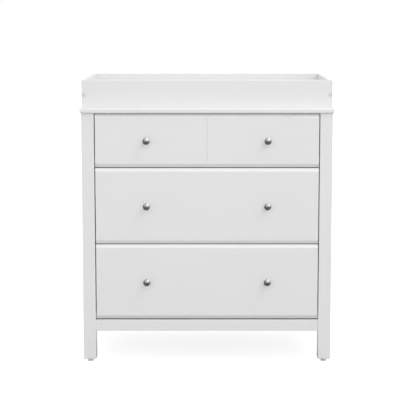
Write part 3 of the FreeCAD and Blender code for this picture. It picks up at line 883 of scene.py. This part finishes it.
def set_down_on(name, shape, places, body, replaced=(), second=None):
    """Hangs a set on its body.  second is another (shape, places) that joins the same piece."""
    piece = set_down(name, shape, places)
    if second:
        more = set_down(name + "_more", *second)
        both = bmesh.new()
        both.from_mesh(piece.data)
        both.from_mesh(more.data)
        both.to_mesh(piece.data)
        both.free()
        bpy.data.objects.remove(more)
    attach(piece, body)
    if replaced:
        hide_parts(*replaced)


# %% [markdown]
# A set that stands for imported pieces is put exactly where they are: knob bolts behind the
# fronts, and cams in the drawer sides, facing into the drawer.

# %% Bolts and cams of each drawer


def set_bolts(drawer, body):
    """Two bolts behind a drawer's front, their heads facing the rear."""
    low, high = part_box(f"{drawer}_knob_bolts")
    bolt_x, head_back = high.x - BOLT_HEAD[0] * MM, high.y - BOLT_HEAD[1] * MM
    bolt_z = (low.z + high.z) / 2
    places = [((sign * bolt_x, head_back, bolt_z), REARWARD) for sign in (-1, 1)]
    set_down_on(f"{drawer}_cross_head_bolts", knob_bolt, places, body, [f"{drawer}_knob_bolts"])


def set_cams(drawer, body):
    """Two cams in each side of a drawer, and a pin from the front into each cam."""
    low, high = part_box(f"{drawer}_cam_locks")
    cam_face, cam_y = high.x - CAM_DEPTH * MM, high.y - CAM_RADIUS * MM
    cam_heights = (low.z + CAM_RADIUS * MM, high.z - CAM_RADIUS * MM)
    cams = [((cam_face, cam_y, z), LEFTWARD) for z in cam_heights]
    cams += [((-cam_face, cam_y, z), RIGHTWARD) for z in cam_heights]
    pin_x = cam_face + CAM_DEPTH / 2 * MM
    pins = [((sign * pin_x, low.y, z), REARWARD) for sign in (-1, 1) for z in cam_heights]
    cams_node = f"{drawer}_cam_locks"
    set_down_on(f"{drawer}_dished_cams", cam, cams, body, [cams_node], (cam_pin, pins))


# %% [markdown]
# The runners are screwed to the legs and to the drawer sides, on flat places of their sheet
# steel, and four nails through the drawer's bottom go up into its back.

# %% Screws and nails of each drawer
SHEET = 1.2 * MM                                        # of a runner
FRONT_SCREW_IN, REAR_SCREW_IN = 39.5 * MM, 9.0 * MM     # from a leg's front face
CABINET_SCREWS_UP = (5.5 * MM, 16.0 * MM)               # from the lower edge of a runner
RAIL_SCREWS_IN = (40.0 * MM, 220.0 * MM, 400.0 * MM)    # from the front end of a runner
RAIL_SCREW_UP = 13.0 * MM
BOTTOM_NAILS_X = (-0.30, -0.10, 0.10, 0.30)


def set_runner_screws(drawer, body):
    """Screws of the runners: those on the cabinet face inwards, those on the drawer outwards."""
    low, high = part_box(f"{drawer}_cabinet_runners")
    web = high.x - SHEET
    places = []
    for y in (front_face + FRONT_SCREW_IN, rear_leg_front + REAR_SCREW_IN):
        for up in CABINET_SCREWS_UP:
            places += [((web, y, low.z + up), LEFTWARD), ((-web, y, low.z + up), RIGHTWARD)]
    set_down_on(f"{drawer}_cabinet_runner_screws", low_screw, places, "cabinet")

    low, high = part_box(f"{drawer}_drawer_runners")
    web = span(f"{drawer}_drawer_side_right", "x")[1] + SHEET
    places = []
    for back in RAIL_SCREWS_IN:
        y, z = low.y + back, low.z + RAIL_SCREW_UP
        places += [((web, y, z), RIGHTWARD), ((-web, y, z), LEFTWARD)]
    set_down_on(f"{drawer}_drawer_runner_screws", low_screw, places, body)


def set_bottom_nails(drawer, body):
    """Nails up through a drawer's bottom into its back."""
    bottom_face = span(f"{drawer}_drawer_bottom", "z")[0]
    nail_y = sum(span(f"{drawer}_drawer_back", "y")) / 2
    places = [((x, nail_y, bottom_face), DOWNWARD) for x in BOTTOM_NAILS_X]
    set_down_on(f"{drawer}_bottom_nails", nail, places, body)


for drawer in DRAWERS:
    body = f"{drawer}_drawer"
    set_bolts(drawer, body)
    set_cams(drawer, body)
    set_runner_screws(drawer, body)
    set_bottom_nails(drawer, body)
print("the drawers took", set_count, "sets")

# %% [markdown]
# At the rear, nails go through the hardboard into both rails, and screws hold the brackets of
# the open tray and of the strap that ties the dresser to a wall.

# %% Nails and screws of the rear
BACK_NAIL_STEPS, BACK_NAIL_PITCH = (-3, -2, -1, 1, 2, 3), 0.12
BRACKET_MIDDLE = 10.0 * MM                              # from a bracket's outer edge
BRACKET_SCREWS_UP = (8.0 * MM, 32.0 * MM, 46.0 * MM)
STRAP_PLATE = 2.0 * MM
STRAP_SCREW_OUT, STRAP_SCREW_DOWN = 6.5 * MM, 9.0 * MM

back_face = span("back_panel", "y")[1]
places = []
for rail in ("bottom_rail_rear", "top_rail_rear"):
    rail_z = sum(span(rail, "z")) / 2
    places += [((BACK_NAIL_PITCH * step, back_face, rail_z), REARWARD) for step in BACK_NAIL_STEPS]
set_down_on("back_panel_nails", nail, places, "cabinet")

low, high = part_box("topper_brackets")
bracket_x = high.x - BRACKET_MIDDLE
places = [
    ((sign * bracket_x, high.y, low.z + up), REARWARD)
    for sign in (-1, 1)
    for up in BRACKET_SCREWS_UP
]
low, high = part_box("anti_tip_bracket")
strap_y, strap_z = low.y + STRAP_PLATE, high.z - STRAP_SCREW_DOWN
places += [((sign * STRAP_SCREW_OUT, strap_y, strap_z), REARWARD) for sign in (-1, 1)]
set_down_on("bracket_screws", screw, places, "cabinet")

for shape in SHAPES:
    bpy.data.objects.remove(shape)
print("set down", set_count, "sets")

# %% [markdown]
# ## The floor and the background
# The photograph is on seamless white.  One sheet of floor that runs far behind the dresser does
# the same, because its far edge meets a world that the camera sees as white.  The floor is
# matt and takes the dresser's shadow.  To the camera it also glows, more so further away, so
# that the open floor reads as paper white and only the shadow stays.  The knobs mirror the
# studio, so they are shown the glow only behind the dresser: in front, the floor stays dark.
# What metal mirrors of the floor is also painted darker than the floor's own grey: a painted
# reflection, which darkens the lower edge of each knob.

# %% Floor
FLOOR_HALF = 40.0
FLOOR_GREY = (0.40, 0.40, 0.40)
FLOOR_PAINTED_DARK_IN_METAL = (0.10, 0.10, 0.10)
FLOOR_GLOW = (0.84, 1.0)       # near the dresser and far away
FLOOR_GLOW_AT = (0.9, 2.2)     # metres from the middle
GLOW_IN_METAL = (0.03, 1.0)    # in front of the dresser and behind it
BEHIND = (-0.15, 0.15)         # y from which the floor counts as behind
floor_mesh = bpy.data.meshes.new("floor")
corner_signs = ((-1, -1), (1, -1), (1, 1), (-1, 1))
floor_corners = [(x * FLOOR_HALF, y * FLOOR_HALF, 0.0) for x, y in corner_signs]
floor_mesh.from_pydata(floor_corners, [], [(0, 1, 2, 3)])
floor = bpy.data.objects.new("floor", floor_mesh)
bpy.context.scene.collection.objects.link(floor)


def by_ray(tree, to_camera, in_metal, as_light):
    """One value for what the camera looks at, one for what metal mirrors, one for other light."""
    rays = add(tree, "ShaderNodeLightPath").outputs
    straight = maths(tree, "MAXIMUM", rays["Is Camera Ray"], rays["Is Transmission Ray"])
    bounced = add(tree, "ShaderNodeMix", {0: rays["Is Glossy Ray"], 2: as_light, 3: in_metal})
    return add(tree, "ShaderNodeMix", {0: straight, 2: bounced.outputs[0], 3: to_camera}).outputs[0]


matt = {"Roughness": 0.9, "Specular_IOR_Level": 0.1, "Emission_Strength": 1.0}
floor_paint, tree, shader = new_finish("floor_paint", **matt)
places = object_places(tree)
mottled = tinted(tree, noise(tree, places, 2.0, detail=4.0), FLOOR_GREY, 0.004)
in_mirror = add(tree, "ShaderNodeLightPath").outputs["Is Glossy Ray"]
from_middle = vector_maths(tree, "LENGTH", places).outputs["Value"]
glow = spread(tree, from_middle, *FLOOR_GLOW_AT, *FLOOR_GLOW)
floor_y = add(tree, "ShaderNodeSeparateXYZ", {0: places}).outputs["Y"]
mirrored_glow = maths(tree, "MULTIPLY", glow, spread(tree, floor_y, *BEHIND, *GLOW_IN_METAL))
# Painted reflection: to metal the floor shows a darker grey than its own.
looks = {
    "Base Color": blend_colours(tree, in_mirror, mottled, FLOOR_PAINTED_DARK_IN_METAL),
    "Emission Color": by_ray(tree, glow, mirrored_glow, 0.0),
}
fill(tree, shader, looks)
floor_mesh.materials.append(floor_paint)
print("laid the floor,", 2 * FLOOR_HALF, "m across")

# %% [markdown]
# ## The light
# White on white shows its form only by small steps of grey.  An even sky lights what faces up
# more than what faces down, and darkens every joint by itself.  A broad light in front, a little
# above level, and a small one near the floor keep the fronts even from top to bottom.  A soft
# box, high on the right, gives each knob its bright spot and a soft shadow to the lower left.
# What the knobs mirror is a studio: bright round the soft box and behind the dresser, and dark
# on the camera's side, which draws the dark edge under each crown.

# %% World
SKY = 0.86
SOFT_BOX_AT = Vector((0.50, -0.34, 0.80))
STUDIO_FALLS_OFF = (-0.55, 0.75)     # cosine of the angle from the soft box: darkest and brightest
STUDIO_IN_METAL = (0.04, 1.0)
BACKDROP_STARTS = (-0.05, 0.30)      # y of a direction: not yet and all backdrop
world = bpy.data.worlds.new("studio")
bpy.context.scene.world = world
world.use_nodes = True
tree = world.node_tree
background = tree.nodes["Background"]
looking = add(tree, "ShaderNodeTexCoord").outputs["Generated"]
towards_box = vector_maths(tree, "DOT_PRODUCT", looking, SOFT_BOX_AT).outputs["Value"]
studio = spread(tree, towards_box, *STUDIO_FALLS_OFF, *STUDIO_IN_METAL)
rearward = add(tree, "ShaderNodeSeparateXYZ", {0: looking}).outputs["Y"]
mirrored_sky = maths(tree, "MAXIMUM", studio, spread(tree, rearward, *BACKDROP_STARTS))
sky_values = {"Color": (1.0, 1.0, 1.0, 1.0), "Strength": by_ray(tree, 1.0, mirrored_sky, SKY)}
fill(tree, background, sky_values)
print("the sky is", SKY, "bright as light and 1.0 to the camera")

# %% [markdown]
# A lamp's watts mean little by themselves, because they thin out with distance.  So each lamp is
# given as how bright it makes a white surface that faces it, and the watts follow from that.

# %% Lamps
AIM = Vector((0.0, 0.0, 0.55))
LAMPS = {
    # name: (direction from the dresser, distance, size, brightness, shows in metal)
    "soft_box": (SOFT_BOX_AT, 4.5, 1.7, 0.25, True),
    "broad_light": ((0.25, -0.90, 0.36), 9.0, 9.0, 0.19, False),
    "front_light": ((-0.20, -0.97, -0.12), 2.2, 1.4, 0.135, False),
}
for lamp_name, (direction, distance, size, brightness, in_metal) in LAMPS.items():
    lamp_data = bpy.data.lights.new(lamp_name, "AREA")
    lamp_data.shape = "SQUARE"
    lamp_data.size = size
    lamp_data.energy = brightness * (math.pi * distance) ** 2
    lamp = bpy.data.objects.new(lamp_name, lamp_data)
    lamp.location = AIM + distance * Vector(direction).normalized()
    lamp.rotation_euler = (AIM - lamp.location).to_track_quat("-Z", "Y").to_euler()
    lamp.visible_glossy, lamp.visible_camera = in_metal, False
    bpy.context.scene.collection.objects.link(lamp)
    print(lamp_name, "has", round(lamp_data.energy), "watts")
